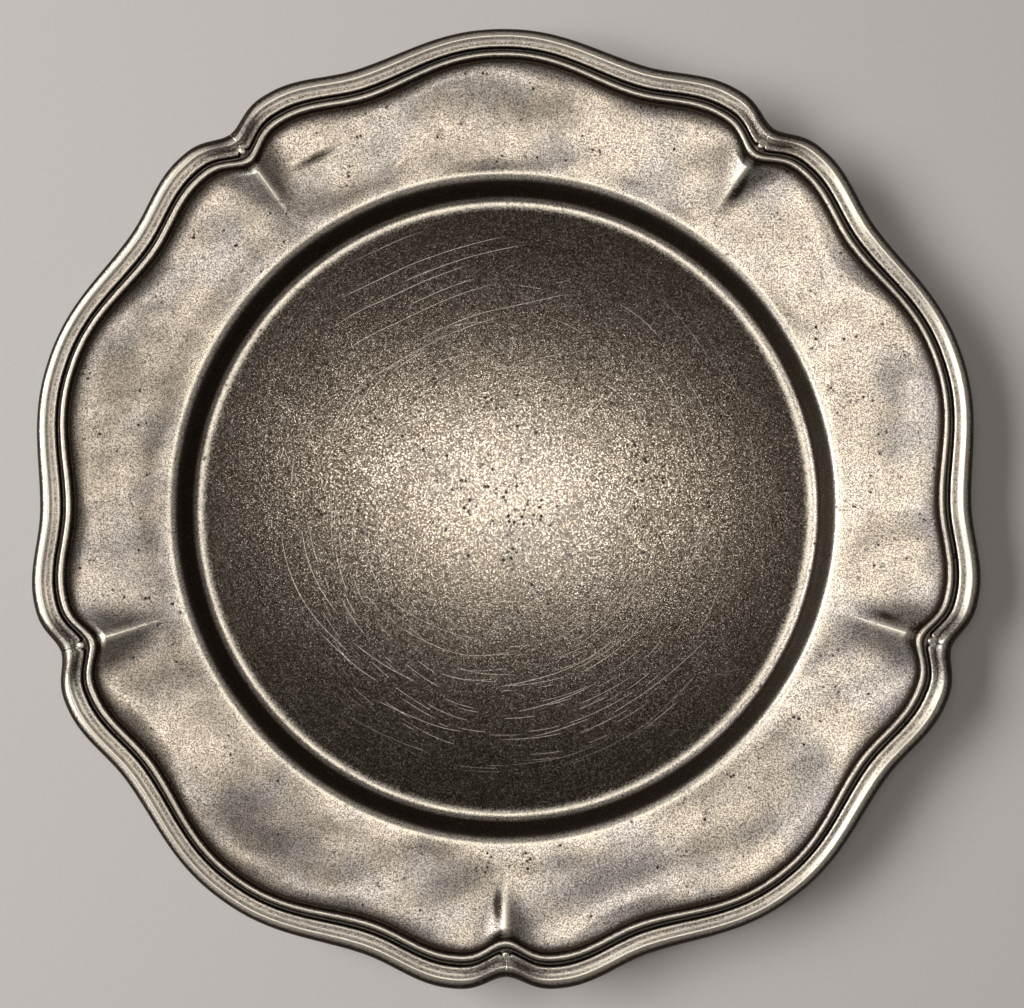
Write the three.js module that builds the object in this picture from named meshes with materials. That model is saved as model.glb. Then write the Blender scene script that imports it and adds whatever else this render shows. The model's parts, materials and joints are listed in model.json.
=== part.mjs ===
import * as THREE from 'three';
import { LoftGeometry } from 'three/addons/geometries/LoftGeometry.js';

// A wavy-edged pewter paten plate in millimetres, +Z up. The plate stands on z = 0 with the axis of its
// well on Z, and one of its five lobes points along +Y. It is built as a turned and raised body, five
// lengths of wide reed that wrap over the body's edge and are mitred at the notches, a narrow reed
// that runs all the way round inside them, and a bead of solder in the inner corner of each mitre.

// Rim outline. Each half lobe runs from a rounded crown through a shallow hollow and a shoulder to a
// notch. "at" is the share of the half lobe passed, "depth" is how far the outer edge lies inside the
// crown circle, "spread" is how much wider than at a crown the moulding is along the radius, because
// it runs aslant there, and "ease" bends the curve that arrives there.
const LOBES = 5;
const CROWN_RADIUS = 120;
const CROWN = { at: 0, depth: 0, spread: 1, ease: 1 };
const HOLLOW = { at: 0.5, depth: 4.05, spread: 1.13, ease: 1.15 };
const SHOULDER = { at: 0.81, depth: 0.3, spread: 1.16, ease: 1 };
const NOTCH = { at: 1, depth: 3.8, spread: 1.27, ease: 1.5 };

// Body. The well's foot is where the straight wall would meet the floor, before it is rounded.
const WELL_FOOT_RADIUS = 80.1;
const WALL_SPREAD = 3.2;
const WELL_DEPTH = 7.6;
const FLANGE_RISE = 4.8;
const FLOOR_THICKNESS = 2;
const WALL_THICKNESS = 1.7;
const FLANGE_THICKNESS = 1.6;
const FOOT_ROUNDING = 2.6;
const MOUTH_ROUNDING = 2.2;

// A low arris on the flange runs in from each notch and fades towards the well.
const ARRIS_HEIGHT = 1.2;
const ARRIS_SPREAD = 4.5;
const ARRIS_FADE = 1.6;
const ARRIS_END = 0.08;

// Moulding sections. Distances across the rim are measured inwards from the outer edge at a crown,
// and heights are above the flat seat that the flange gives the moulding.
const WIDE_REED_WIDTH = 5.2;
const WIDE_REED_HEIGHT = 2;
const WIDE_REED_ROLL = 1.7;
const WIDE_REED_TILT = 0.75;
const WIDE_REED_HOLLOW = 0.15;
const INNER_FLANK = 0.5;
const LIP_THICKNESS = 1.1;
const LIP_UNDERCUT = 0.4;
const NARROW_REED_WIDTH = 2.2;
const NARROW_REED_HEIGHT = 1.25;
const BEAD_RADIUS = 0.75;

// Clearances between pieces that touch on the real plate, and the seat's margin past the reeds.
const SEAT_GAP = 0.3;
const LIP_GAP = 0.3;
const MITRE_GAP = 0.3;
const REED_GAP = 0.3;
const BEAD_GAP = 0.3;
const SEAT_MARGIN = 0.3;

// Mesh resolution.
const STEPS_PER_LOBE = 30;
const NOTCH_CROWDING = 0.6;
const CORNER_STEPS = 4;
const FLANGE_STEPS = [1, 0.9, 0.7, 0.46, 0.22];
const REED_STEPS = 5;
const BEAD_STEPS = 8;

const HALF_LOBE = Math.PI / LOBES;
const FLOOR_HEIGHT = FLOOR_THICKNESS;
const MOUTH_HEIGHT = FLOOR_HEIGHT + WELL_DEPTH;
const SEAT_HEIGHT = MOUTH_HEIGHT + FLANGE_RISE;
const WALL_SLOPE = Math.atan2(WELL_DEPTH, WALL_SPREAD);
const BODY_EDGE = LIP_THICKNESS + LIP_GAP;
const NARROW_REED_CENTRE = WIDE_REED_WIDTH + REED_GAP + NARROW_REED_WIDTH / 2;
const SEAT_WIDTH = NARROW_REED_CENTRE + NARROW_REED_WIDTH / 2 + SEAT_MARGIN;

// Each mitre's inner corner is cut back at 45 degrees, just far enough to clear its solder bead.
const POCKET_SIZE = BEAD_RADIUS + Math.SQRT2 * (BEAD_RADIUS + BEAD_GAP);

const PEWTER = { color: 0x8a8075, roughness: 0.5, metalness: 1 };
const RUBBED_PEWTER = { color: 0xc3b8a6, roughness: 0.42, metalness: 1 };
const SOLDER = { color: 0xd9cfbc, roughness: 0.35, metalness: 1 };

// Outline

const smooth = (share) => (1 - Math.cos(Math.PI * share)) / 2;

// The outer edge's radius and the moulding's spread at an angle about Z, counted from the +Y crown.
function rimAt(angle) {
  const turned = THREE.MathUtils.euclideanModulo(angle, 2 * HALF_LOBE);
  const at = Math.min(turned, 2 * HALF_LOBE - turned) / HALF_LOBE;
  const keys = [CROWN, HOLLOW, SHOULDER, NOTCH];
  const next = Math.max(1, keys.findIndex((key) => at <= key.at + Number.EPSILON));
  const from = keys[next - 1];
  const to = keys[next];
  const share = smooth(((at - from.at) / (to.at - from.at)) ** to.ease);
  const depth = THREE.MathUtils.lerp(from.depth, to.depth, share);
  const spread = THREE.MathUtils.lerp(from.spread, to.spread, share);
  return { edge: CROWN_RADIUS - depth, spread };
}

// The radius of a line that lies a given distance inside the outer edge at the crowns.
function rimRadius(angle, across) {
  const { edge, spread } = rimAt(angle);
  return edge - across * spread;
}

const polar = (angle, radius, height) =>
  new THREE.Vector3(-radius * Math.sin(angle), radius * Math.cos(angle), height);

const rimPoint = (angle, across, height) =>
  polar(angle, rimRadius(angle, across), SEAT_HEIGHT + height);

// Angles across one lobe from notch to notch, closer together towards the notches.
function lobeAngles(lobe, reach) {
  const angles = [];
  for (let step = 0; step <= STEPS_PER_LOBE; step += 1) {
    const across = (2 * step) / STEPS_PER_LOBE - 1;
    const crowded = across + (NOTCH_CROWDING * Math.sin(Math.PI * across)) / Math.PI;
    angles.push(2 * HALF_LOBE * lobe + reach * crowded);
  }
  return angles;
}

// Angles all the way round, from the notch before the +Y lobe, without the closing one.
function roundAngles() {
  const angles = [];
  for (let lobe = 0; lobe < LOBES; lobe += 1) {
    angles.push(...lobeAngles(lobe, HALF_LOBE).slice(0, STEPS_PER_LOBE));
  }
  return angles;
}

// Body

// The arc distance to the nearest notch's radial line.
function distanceToNotch(angle, radius) {
  const turned = THREE.MathUtils.euclideanModulo(angle, 2 * HALF_LOBE);
  return radius * Math.abs(turned - HALF_LOBE);
}

// The arris's height above the flange, where "out" runs from 0 at the well to 1 at the seat.
function arrisHeight(angle, radius, out) {
  const along = out ** ARRIS_FADE * Math.min(1, (1 - out) / ARRIS_END);
  return ARRIS_HEIGHT * along * Math.exp(-distanceToNotch(angle, radius) / ARRIS_SPREAD);
}

// A corner of a turned profile, rounded by a curve that leaves each side at the same distance.
function roundedCorner(before, corner, after, rounding) {
  const start = corner.clone().add(before.clone().sub(corner).setLength(rounding));
  const end = corner.clone().add(after.clone().sub(corner).setLength(rounding));
  return new THREE.QuadraticBezierCurve(start, corner, end).getPoints(CORNER_STEPS);
}

// The under and upper sides of the well as turned profiles, each point a radius and a height. The
// under one runs outwards from the axis, and the upper one runs back to it.
function wellProfiles() {
  const seatRadius = rimRadius(0, SEAT_WIDTH);
  const axis = new THREE.Vector2(0, FLOOR_HEIGHT);
  const foot = new THREE.Vector2(WELL_FOOT_RADIUS, FLOOR_HEIGHT);
  const mouth = new THREE.Vector2(WELL_FOOT_RADIUS + WALL_SPREAD, MOUTH_HEIGHT);
  const seat = new THREE.Vector2(seatRadius, SEAT_HEIGHT);
  const upper = [
    ...roundedCorner(seat, mouth, foot, MOUTH_ROUNDING),
    ...roundedCorner(mouth, foot, axis, FOOT_ROUNDING),
    axis,
  ];
  const shift = WALL_THICKNESS / Math.sin(WALL_SLOPE);
  const slant = (height) => height / Math.tan(WALL_SLOPE);
  const underAxis = new THREE.Vector2(0, 0);
  const underFoot = new THREE.Vector2(foot.x + shift - slant(FLOOR_THICKNESS), 0);
  const underMouth = new THREE.Vector2(
    mouth.x + shift - slant(FLANGE_THICKNESS),
    MOUTH_HEIGHT - FLANGE_THICKNESS,
  );
  const underSeat = new THREE.Vector2(seatRadius, SEAT_HEIGHT - FLANGE_THICKNESS);
  const under = [
    underAxis,
    ...roundedCorner(underAxis, underFoot, underMouth, FOOT_ROUNDING),
    ...roundedCorner(underFoot, underMouth, underSeat, MOUTH_ROUNDING),
  ];
  return { under, upper };
}

// The body is lofted through rings, from the middle of its flat foot out along the underside, up
// round the edge, and in along the top to the middle of the well's floor.
function bodyGeometry() {
  const { under, upper } = wellProfiles();
  const flangeStart = upper[0];
  const angles = roundAngles();
  const ring = (place) => angles.map(place);
  const turnedRing = (point) => ring((angle) => polar(angle, point.x, point.y));
  const flangeRing = (out) =>
    ring((angle) => {
      const seatRadius = rimRadius(angle, SEAT_WIDTH);
      const radius = THREE.MathUtils.lerp(flangeStart.x, seatRadius, out);
      const height = THREE.MathUtils.lerp(flangeStart.y, SEAT_HEIGHT, out);
      return polar(angle, radius, height + arrisHeight(angle, radius, out));
    });
  const rings = [
    ...under.map(turnedRing),
    ring((angle) => rimPoint(angle, BODY_EDGE, -FLANGE_THICKNESS)),
    ring((angle) => rimPoint(angle, BODY_EDGE, 0)),
    ...FLANGE_STEPS.map(flangeRing),
    ...upper.map(turnedRing),
  ];
  return new LoftGeometry(rings);
}

// Mouldings

// The wide reed's section, from its inner crest over its tilted, slightly hollow face, down the
// rolled outer edge and back under the lip and the bed. "relief" cuts its inner side back.
function wideReedSection(relief) {
  const inner = WIDE_REED_WIDTH - relief;
  const crest = inner - INNER_FLANK;
  const innerHeight = WIDE_REED_HEIGHT - WIDE_REED_TILT;
  const middle = (WIDE_REED_ROLL + crest) / 2;
  const middleHeight = (WIDE_REED_HEIGHT + innerHeight) / 2 - WIDE_REED_HOLLOW;
  const roll = new THREE.QuadraticBezierCurve(
    new THREE.Vector2(WIDE_REED_ROLL, WIDE_REED_HEIGHT),
    new THREE.Vector2(0, WIDE_REED_HEIGHT),
    new THREE.Vector2(0, -FLANGE_THICKNESS / 2),
  );
  return [
    new THREE.Vector2(crest, innerHeight),
    new THREE.Vector2(middle, middleHeight),
    ...roll.getPoints(CORNER_STEPS),
    new THREE.Vector2(LIP_UNDERCUT, -FLANGE_THICKNESS),
    new THREE.Vector2(LIP_THICKNESS, -FLANGE_THICKNESS),
    new THREE.Vector2(LIP_THICKNESS, SEAT_GAP),
    new THREE.Vector2(inner, SEAT_GAP),
  ];
}

// One length of wide reed, from mitre to mitre over one lobe.
function wideReedGeometry(lobe) {
  const reach = HALF_LOBE - Math.asin(MITRE_GAP / 2 / rimRadius(HALF_LOBE, WIDE_REED_WIDTH));
  const sections = lobeAngles(lobe, reach).map((angle) => {
    const distance = distanceToNotch(angle, rimRadius(angle, WIDE_REED_WIDTH));
    const relief = Math.max(0, POCKET_SIZE - distance) / NOTCH.spread;
    return wideReedSection(relief).map((point) => rimPoint(angle, point.x, point.y));
  });
  return new LoftGeometry(sections, { capStart: true, capEnd: true });
}

// The narrow reed is half round on a flat bed, and closes on itself.
function narrowReedGeometry() {
  const section = [];
  for (let step = 0; step <= REED_STEPS; step += 1) {
    const turn = (Math.PI * step) / REED_STEPS;
    const across = NARROW_REED_CENTRE + (NARROW_REED_WIDTH / 2) * Math.cos(turn);
    section.push(new THREE.Vector2(across, SEAT_GAP + NARROW_REED_HEIGHT * Math.sin(turn)));
  }
  const angles = roundAngles();
  const sections = [...angles, angles[0] + 2 * Math.PI].map((angle) =>
    section.map((point) => rimPoint(angle, point.x, point.y)),
  );
  return new LoftGeometry(sections);
}

// Assembly

function addPiece(group, name, geometry, finish) {
  const mesh = new THREE.Mesh(geometry, new THREE.MeshStandardMaterial(finish));
  mesh.name = name;
  group.add(mesh);
  return mesh;
}

// A bead stands in each mitre's pocket, level with the inner side of the wide reeds.
function addBead(group, lobe) {
  const geometry = new THREE.SphereGeometry(BEAD_RADIUS, BEAD_STEPS, BEAD_STEPS);
  const bead = addPiece(group, `mitre_solder_${lobe + 1}`, geometry, SOLDER);
  const across = WIDE_REED_WIDTH - BEAD_RADIUS / NOTCH.spread;
  bead.position.copy(rimPoint(HALF_LOBE * (2 * lobe + 1), across, SEAT_GAP + BEAD_RADIUS));
}

const plate = new THREE.Group();
addPiece(plate, 'plate_body', bodyGeometry(), PEWTER);
for (let lobe = 0; lobe < LOBES; lobe += 1) {
  addPiece(plate, `rim_moulding_${lobe + 1}`, wideReedGeometry(lobe), RUBBED_PEWTER);
  addBead(plate, lobe);
}
addPiece(plate, 'inner_reed', narrowReedGeometry(), RUBBED_PEWTER);

export default plate;
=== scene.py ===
"""A wavy-edged pewter paten plate, with its worn finish and a plain studio.

The plate is a cast body with a turned well, five lengths of wide reed that wrap over its edge and meet
in mitres at the notches, a narrow reed that runs round inside them, and a fillet of solder in each
mitre. Everything is in metres, +Z up, and one lobe of the rim points along +Y. Angles about Z are
counted from that lobe's crown, counterclockwise.
"""

import json
import math

import bpy
import numpy as np
from mathutils import Matrix, Vector


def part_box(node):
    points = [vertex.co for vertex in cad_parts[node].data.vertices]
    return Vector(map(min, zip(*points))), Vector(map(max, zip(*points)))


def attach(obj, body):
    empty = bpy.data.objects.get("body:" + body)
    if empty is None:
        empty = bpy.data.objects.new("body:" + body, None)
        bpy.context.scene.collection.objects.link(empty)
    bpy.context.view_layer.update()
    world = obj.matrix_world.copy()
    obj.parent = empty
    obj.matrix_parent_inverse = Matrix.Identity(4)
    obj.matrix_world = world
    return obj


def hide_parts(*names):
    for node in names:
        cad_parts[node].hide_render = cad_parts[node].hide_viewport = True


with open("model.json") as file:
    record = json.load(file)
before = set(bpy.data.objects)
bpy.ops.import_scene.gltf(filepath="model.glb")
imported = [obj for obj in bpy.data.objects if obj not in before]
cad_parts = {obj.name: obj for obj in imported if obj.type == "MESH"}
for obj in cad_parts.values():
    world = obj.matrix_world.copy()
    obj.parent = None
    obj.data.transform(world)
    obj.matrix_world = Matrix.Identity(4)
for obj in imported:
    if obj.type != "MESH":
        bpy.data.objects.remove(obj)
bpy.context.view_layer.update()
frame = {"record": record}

bl_info = {
    "name": "Wavy-Edged Paten Plate",
    "version": (1, 0, 0),
    "blender": (4, 5, 0),
    "location": "3D View > Sidebar > Paten",
    "description": "Builds a worn pewter paten plate round its CAD frame, and a studio to see it in",
    "category": "Object",
}

MM = 0.001
ROOT = "root"
LOBES = 5
CAD_GAP = 0.3 * MM
RIM_CLEARANCE = 0.1 * MM
MOUNTS = {mount["name"]: mount for mount in frame["record"]["mounts"]}
WIDE_REED_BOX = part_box("rim_moulding_1")
NARROW_REED_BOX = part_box("inner_reed")
SEAT_HEIGHT = NARROW_REED_BOX[0].z - CAD_GAP


# Sizes, colours and light that a user would change


def length_setting(name, description, default):
    """A setting that holds a length."""
    return bpy.props.FloatProperty(
        name=name, description=description, default=default, unit="LENGTH", precision=5
    )


def colour_setting(name, description, default):
    """A setting that holds a colour."""
    return bpy.props.FloatVectorProperty(
        name=name, description=description, default=default, subtype="COLOR", min=0, max=1
    )


def power_setting(name, description, default):
    """A setting that holds a lamp's power."""
    return bpy.props.FloatProperty(name=name, description=description, default=default, unit="POWER")


class PatenShape(bpy.types.PropertyGroup):
    """Sizes of the plate."""

    crown_radius: length_setting(
        "Crown Radius",
        "From the axis to the outer edge at the crown of a lobe",
        WIDE_REED_BOX[1].y - RIM_CLEARANCE,
    )
    hollow_depth: length_setting(
        "Hollow Depth",
        "How far the shallow hollow beside a crown lies inside the crown circle",
        4.05 * MM,
    )
    shoulder_depth: length_setting(
        "Shoulder Depth",
        "How far the shoulder beside a notch lies inside the crown circle",
        0.3 * MM,
    )
    notch_depth: length_setting(
        "Notch Depth", "How far a notch lies inside the crown circle", 3.8 * MM
    )
    seat_height: length_setting(
        "Seat Height", "Height of the flat seat under the mouldings", SEAT_HEIGHT
    )
    floor_height: length_setting(
        "Floor Height",
        "Height of the well's floor above the table",
        MOUNTS["well_floor"]["pos_m"][2],
    )
    flange_rise: length_setting(
        "Flange Rise", "How much higher the seat is than the mouth of the well", 4.8 * MM
    )
    foot_radius: length_setting(
        "Foot Radius",
        "Radius where the wall of the well would meet its floor, before it is rounded",
        80.1 * MM,
    )
    wall_spread: length_setting(
        "Wall Spread", "How much wider the well is at its mouth than at its foot", 3.2 * MM
    )
    arris_height: length_setting(
        "Arris Height", "Height of the arris on the flange inside each notch", 1.1 * MM
    )
    lobe_dish: length_setting(
        "Lobe Dish",
        "How far the flange is dished between two arrises, next to the narrow reed",
        1.15 * MM,
    )
    unevenness: length_setting(
        "Unevenness",
        "Height of the low swells that casting and hammering left in the flange",
        0.18 * MM,
    )


class PatenFinish(bpy.types.PropertyGroup):
    """Colours and grain of the metal."""

    metal: colour_setting("Metal", "Colour of the bare pewter", (0.93, 0.83, 0.72))
    cool: colour_setting(
        "Cool Metal", "Colour of the bare pewter in its cooler patches", (0.74, 0.695, 0.665)
    )
    # Colour of metal worn bright and of scratches, and also of the painted highlights and glints.
    rubbed: colour_setting(
        "Rubbed Metal", "Colour of the pewter where it is rubbed bright", (0.97, 0.91, 0.79)
    )
    # Colour of tarnish, and also of the painted shade that darkens the floor of the well outwards and
    # one side of the flange.
    tarnished: colour_setting(
        "Tarnished Metal",
        "Colour of the pewter where it is dulled, most of all round the floor of the well",
        (0.135, 0.11, 0.09),
    )
    # Colour of patina, and also of the painted shade in the grooves, on the reeds' flanks, on the
    # well's wall and beside the seat.
    patina: colour_setting(
        "Patina", "Colour of the brown-black patina in the hollows", (0.04, 0.029, 0.021)
    )
    grain: length_setting("Grain", "Size of one grain of the gritty cast skin", 0.36 * MM)
    paper: colour_setting("Floor", "Colour of the studio floor", (0.92, 0.892, 0.878))


class PatenStudio(bpy.types.PropertyGroup):
    """Light and view."""

    key_power: power_setting("Key Power", "Power of the long soft lamp over the plate", 0.45)
    fill_power: power_setting("Side Power", "Power of the soft lamp at the left", 20.0)
    camera_distance: length_setting(
        "Camera Distance", "From the camera to the middle of the rim", 0.36
    )
    lens: bpy.props.FloatProperty(
        name="Lens", description="Focal length of the camera in millimetres", default=50.97
    )


# Outline of the rim

# Each key of the half lobe is its share of the half lobe passed, how much wider than at a crown the
# moulding is along the radius, and the ease that bends the curve that arrives there.
CROWN_KEY = (0.0, 1.0, 1.0)
HOLLOW_KEY = (0.5, 1.13, 1.15)
SHOULDER_KEY = (0.81, 1.16, 1.0)
NOTCH_KEY = (1.0, 1.27, 1.5)
HALF_LOBE = math.pi / LOBES
NOTCH_CROWDING = 0.6

# Bands of the rim, as distances inwards from its outer edge at a crown.
FLANGE_THICKNESS = 1.6 * MM
FLOOR_THICKNESS = 2.0 * MM
WALL_THICKNESS = 1.7 * MM
BODY_EDGE = 1.4 * MM
WIDE_REED_WIDTH = 5.2 * MM
NARROW_REED_CENTRE = 6.6 * MM
NARROW_REED_HALF = 1.1 * MM
SEAT_WIDTH = 8.0 * MM


def smooth(share):
    """Half a cosine wave from 0 to 1."""
    return (1 - np.cos(np.pi * share)) / 2


def bell(distance, width):
    """A bell curve of height 1 that falls to 0.37 at the width."""
    return np.exp(-((distance / width) ** 2))


def rim_lines(angle, shape):
    """The outer edge's radius and the moulding's spread at each angle.

    From key to key the depth inside the crown circle and the spread pass along half a cosine wave of
    the share of the way, raised to the ease.
    """
    turned = np.mod(angle, 2 * HALF_LOBE)
    at = np.minimum(turned, 2 * HALF_LOBE - turned) / HALF_LOBE
    depths = (0.0, shape.hollow_depth, shape.shoulder_depth, shape.notch_depth)
    keys = (CROWN_KEY, HOLLOW_KEY, SHOULDER_KEY, NOTCH_KEY)
    depth = np.zeros_like(at)
    spread = np.ones_like(at)
    for index in range(1, len(keys)):
        begin, start_spread, _ = keys[index - 1]
        end, end_spread, ease = keys[index]
        share = smooth(np.clip((at - begin) / (end - begin), 0, 1) ** ease)
        deeper = depths[index] - depths[index - 1]
        depth = np.where(at > begin, depths[index - 1] + deeper * share, depth)
        spread = np.where(at > begin, start_spread + (end_spread - start_spread) * share, spread)
    return shape.crown_radius - depth, spread


def rim_radius(angle, across, shape):
    """The outer edge's radius less the distance across times the spread."""
    edge, spread = rim_lines(angle, shape)
    return edge - across * spread


def notch_distance(angle, radius):
    """The arc from each place to the radial line of the nearest notch."""
    turned = np.mod(angle, 2 * HALF_LOBE)
    return radius * np.abs(turned - HALF_LOBE)


def place(angle, radius, height):
    """Points at an angle, a radius and a height."""
    angle, radius, height = np.broadcast_arrays(angle, radius, height)
    return np.stack([-radius * np.sin(angle), radius * np.cos(angle), height], axis=-1)


def crowded(count, closed=True):
    """Shares of a lobe from -1 to 1, closer together towards both notches by a sine."""
    share = np.linspace(-1, 1, count, endpoint=closed)
    return share + NOTCH_CROWDING * np.sin(np.pi * share) / np.pi


def round_angles(count):
    """Angles all the way round, count to a lobe, without the closing one."""
    starts = 2 * HALF_LOBE * np.arange(LOBES)[:, None]
    return (starts + HALF_LOBE * crowded(count, closed=False)).ravel()


def rounded_path(corners, steps, closed=False):
    """A path through corners (x, y, rounding), each rounded by a quadratic curve that leaves both its
    sides at the rounding's distance. A corner with no rounding stays sharp."""
    points = np.array([corner[:2] for corner in corners])
    share = np.linspace(0, 1, steps)[:, None]
    path = []
    for index, (_, _, rounding) in enumerate(corners):
        inside = closed or 0 < index < len(corners) - 1
        if not inside or rounding == 0:
            path.append(points[index][None])
            continue
        before = points[index - 1] - points[index]
        after = points[(index + 1) % len(points)] - points[index]
        start = points[index] + rounding * before / np.linalg.norm(before)
        end = points[index] + rounding * after / np.linalg.norm(after)
        path.append((1 - share) ** 2 * start + 2 * share * (1 - share) * points[index] + share**2 * end)
    return np.concatenate(path)


def filled_in(path, longest, closed=False):
    """The same path with straight stretches cut into steps no longer than the longest."""
    ends = np.roll(path, -1, axis=0) if closed else path[1:]
    starts = path if closed else path[:-1]
    parts = []
    for start, end in zip(starts, ends):
        steps = max(1, math.ceil(np.linalg.norm(end - start) / longest))
        parts.append(start + (end - start) * np.linspace(0, 1, steps, endpoint=False)[:, None])
    return np.concatenate(parts if closed else [*parts, path[-1:]])


# Meshes

SHARP_ANGLE = math.radians(50)


def grid_faces(rows, columns, wrap_rows=False, wrap_columns=False):
    """Quads between neighbouring rows and columns of a grid, numbered row by row."""
    row = np.arange(rows if wrap_rows else rows - 1)[:, None]
    column = np.arange(columns if wrap_columns else columns - 1)[None]
    next_row = (row + 1) % rows
    next_column = (column + 1) % columns
    corners = [row * columns + column, row * columns + next_column]
    corners += [next_row * columns + next_column, next_row * columns + column]
    cells = (row.size, column.size)
    return np.stack([np.broadcast_to(corner, cells) for corner in corners], axis=-1).reshape(-1, 4)


def fan(pole, first, count, flipped=False):
    """Triangles from a pole to a closed ring of points that starts at the first."""
    here = np.arange(count)
    after = (here + 1) % count
    if flipped:
        here, after = after, here
    return np.stack([np.full(count, pole), first + here, first + after], axis=1).tolist()


def make_piece(name, points, faces, marks, slot, stands_for, material):
    """Makes a smooth piece from points and faces, with its marks as attributes on the points."""
    mesh = bpy.data.meshes.new(name)
    mesh.from_pydata(points.reshape(-1, 3), [], faces)
    mesh.validate()
    mesh.shade_smooth()
    mesh.set_sharp_from_angle(angle=SHARP_ANGLE)
    for mark, values in marks.items():
        attribute = mesh.attributes.new(mark, "FLOAT", "POINT")
        attribute.data.foreach_set("value", np.clip(values, 0, 1).astype(np.float32).ravel())
    mesh.materials.append(material)
    piece = bpy.data.objects.new(name, mesh)
    bpy.context.scene.collection.objects.link(piece)
    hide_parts(stands_for)
    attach(piece, ROOT)
    return piece


# Body: the well and the flange

BODY_STEPS = 180
MOUTH_ROUNDING = 1.5 * MM
FOOT_ROUNDING = 2.1 * MM
CORNER_STEPS = 11
UNDER_STEP = 20 * MM
FLOOR_STEP = 11 * MM
FLOOR_ROWS = (2.7 * MM, 3.4 * MM, 4.3 * MM, 6.0 * MM)
SEAT_ROWS = (
    (BODY_EDGE, -FLANGE_THICKNESS),
    (BODY_EDGE, 0),
    (3.4 * MM, 0),
    (5.35 * MM, 0),
    (6.6 * MM, 0),
)
FLANGE_ROWS = 42
FLANGE_CROWDING = 1.5
ARRIS_SPREAD = 2.8 * MM
ARRIS_CREST = 1.2 * MM
ARRIS_FADE = 2.4
ARRIS_END = 0.08
COVE_WIDTH = 3.4 * MM
DISH_CLEARANCE = 5.0 * MM

# A short dent on the flange: its angle, radius, half length, half width, depth and tilt.
DENT_ANGLE = math.radians(28.1)
DENT_RADIUS = 100.2 * MM
DENT_LENGTH = 5.5 * MM
DENT_WIDTH = 0.7 * MM
DENT_DEPTH = 0.26 * MM
DENT_TILT = math.radians(25)

# Tarnish and painted shade on the flange: the side darkened as painted shade, the dull ring by the well
# on that side, also painted shade, and the cloud of tarnish and painted shade in each lobe.
SHADED_SIDE = math.radians(80)
SIDE_SHADE_DEPTH = 0.45
SHADED_RING_DEPTH = 0.6
SHADED_RING_RADIUS = 89.5 * MM
SHADED_RING_WIDTH = 3 * MM
CROWN_CLOUDS = (0.8, 0.7, 0.7, 0.25, 0.2)
CLOUD_RADIUS = 103 * MM
CLOUD_WIDTH = 6 * MM
CLOUD_LENGTH = 23 * MM

# The painted shade by each arris: how far to its counterclockwise side, and its depth.
ARRIS_SHADES = ((-2.4 * MM, 0.5), (-2.2 * MM, 0.5), (-1.9 * MM, 1.1), (2.6 * MM, 0.8), (-1.6 * MM, 1.1))
ARRIS_SHADE_RADIUS = 99 * MM
ARRIS_SHADE_WIDTH = 1.5 * MM
ARRIS_SHADE_LENGTH = 4.2 * MM

# Painted highlights: the line along each arris, and the rings at the mouth and the foot of the well.
ARRIS_LINE_WIDTH = 1.1 * MM
ARRIS_LINE_RISE = 2.2
ARRIS_LINE_START = 0.7
RING_WIDTH = 1.1 * MM
MOUTH_HIGHLIGHT_DEPTH = 0.62
MOUTH_RING_SHIFT = 0.5 * MM
FOOT_HIGHLIGHT_DEPTH = 0.7
FOOT_RING_SHIFT = 0.3 * MM

# Painted shade: by the seat, in the dent, on the well's wall, where each end is a reach past the corner
# and the distance it fades over, and round the edge of the floor.
SEAT_SHADE = 0.9
SEAT_SHADE_WIDTH = 1.5 * MM
DENT_SHADE = 0.85
WALL_FOOT = (0.75 * MM, 1.3 * MM)
WALL_MOUTH = (0.55 * MM, 1.7 * MM)
FLOOR_EDGE_SHADE = 0.3
FLOOR_EDGE_START = 2.5 * MM
FLOOR_EDGE_WIDTH = 16 * MM

# The turned floor: how far inside the foot it starts, and the radius of full tarnish and painted shade.
TURNED_EDGE = 1.5 * MM
FULL_TARNISH_AND_SHADE_RADIUS = 90 * MM

# Swells of the cast flange: waves in seeded directions and lengths.
SWELLS = 14
SWELL_SHORTEST = 11 * MM
SWELL_LONGEST = 42 * MM
SWELL_SEED = 7
SWELL_FADE = 4 * MM


def swell(x, y, height):
    """A sum of plane waves with seeded directions, lengths and phases."""
    rng = np.random.default_rng(SWELL_SEED)
    heading = rng.uniform(0, 2 * np.pi, SWELLS)
    length = rng.uniform(SWELL_SHORTEST, SWELL_LONGEST, SWELLS)
    phase = rng.uniform(0, 2 * np.pi, SWELLS)
    total = np.zeros_like(x)
    for turn, wave, start in zip(heading, length, phase):
        along = x * np.cos(turn) + y * np.sin(turn)
        total += np.cos(2 * np.pi * along / wave + start) * wave / SWELL_LONGEST
    return height * total * 2 / math.sqrt(SWELLS)


def dent(x, y):
    """A bell-shaped dent, longer than it is wide."""
    centre = place(DENT_ANGLE, DENT_RADIUS, 0)
    along = (x - centre[0]) * math.cos(DENT_TILT) + (y - centre[1]) * math.sin(DENT_TILT)
    aside = (y - centre[1]) * math.cos(DENT_TILT) - (x - centre[0]) * math.sin(DENT_TILT)
    return bell(along, DENT_LENGTH) * bell(aside, DENT_WIDTH)


def tarnish(angle, radius):
    """How tarnished the flange is: more on one side than on the other, by a cosine, with a dull ring
    by the well and a cloud inside the crown of each lobe."""
    side = 0.5 + 0.5 * np.cos(angle - SHADED_SIDE)
    ring = SHADED_RING_DEPTH * bell(radius - SHADED_RING_RADIUS, SHADED_RING_WIDTH)
    total = side * (SIDE_SHADE_DEPTH + ring)
    for lobe, depth in enumerate(CROWN_CLOUDS):
        crown = 2 * HALF_LOBE * lobe
        aside = radius * np.abs(np.mod(angle - crown + np.pi, 2 * np.pi) - np.pi)
        cloud = bell(aside, CLOUD_LENGTH) * bell(radius - CLOUD_RADIUS, CLOUD_WIDTH)
        total = total + depth * cloud
    return total


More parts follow.
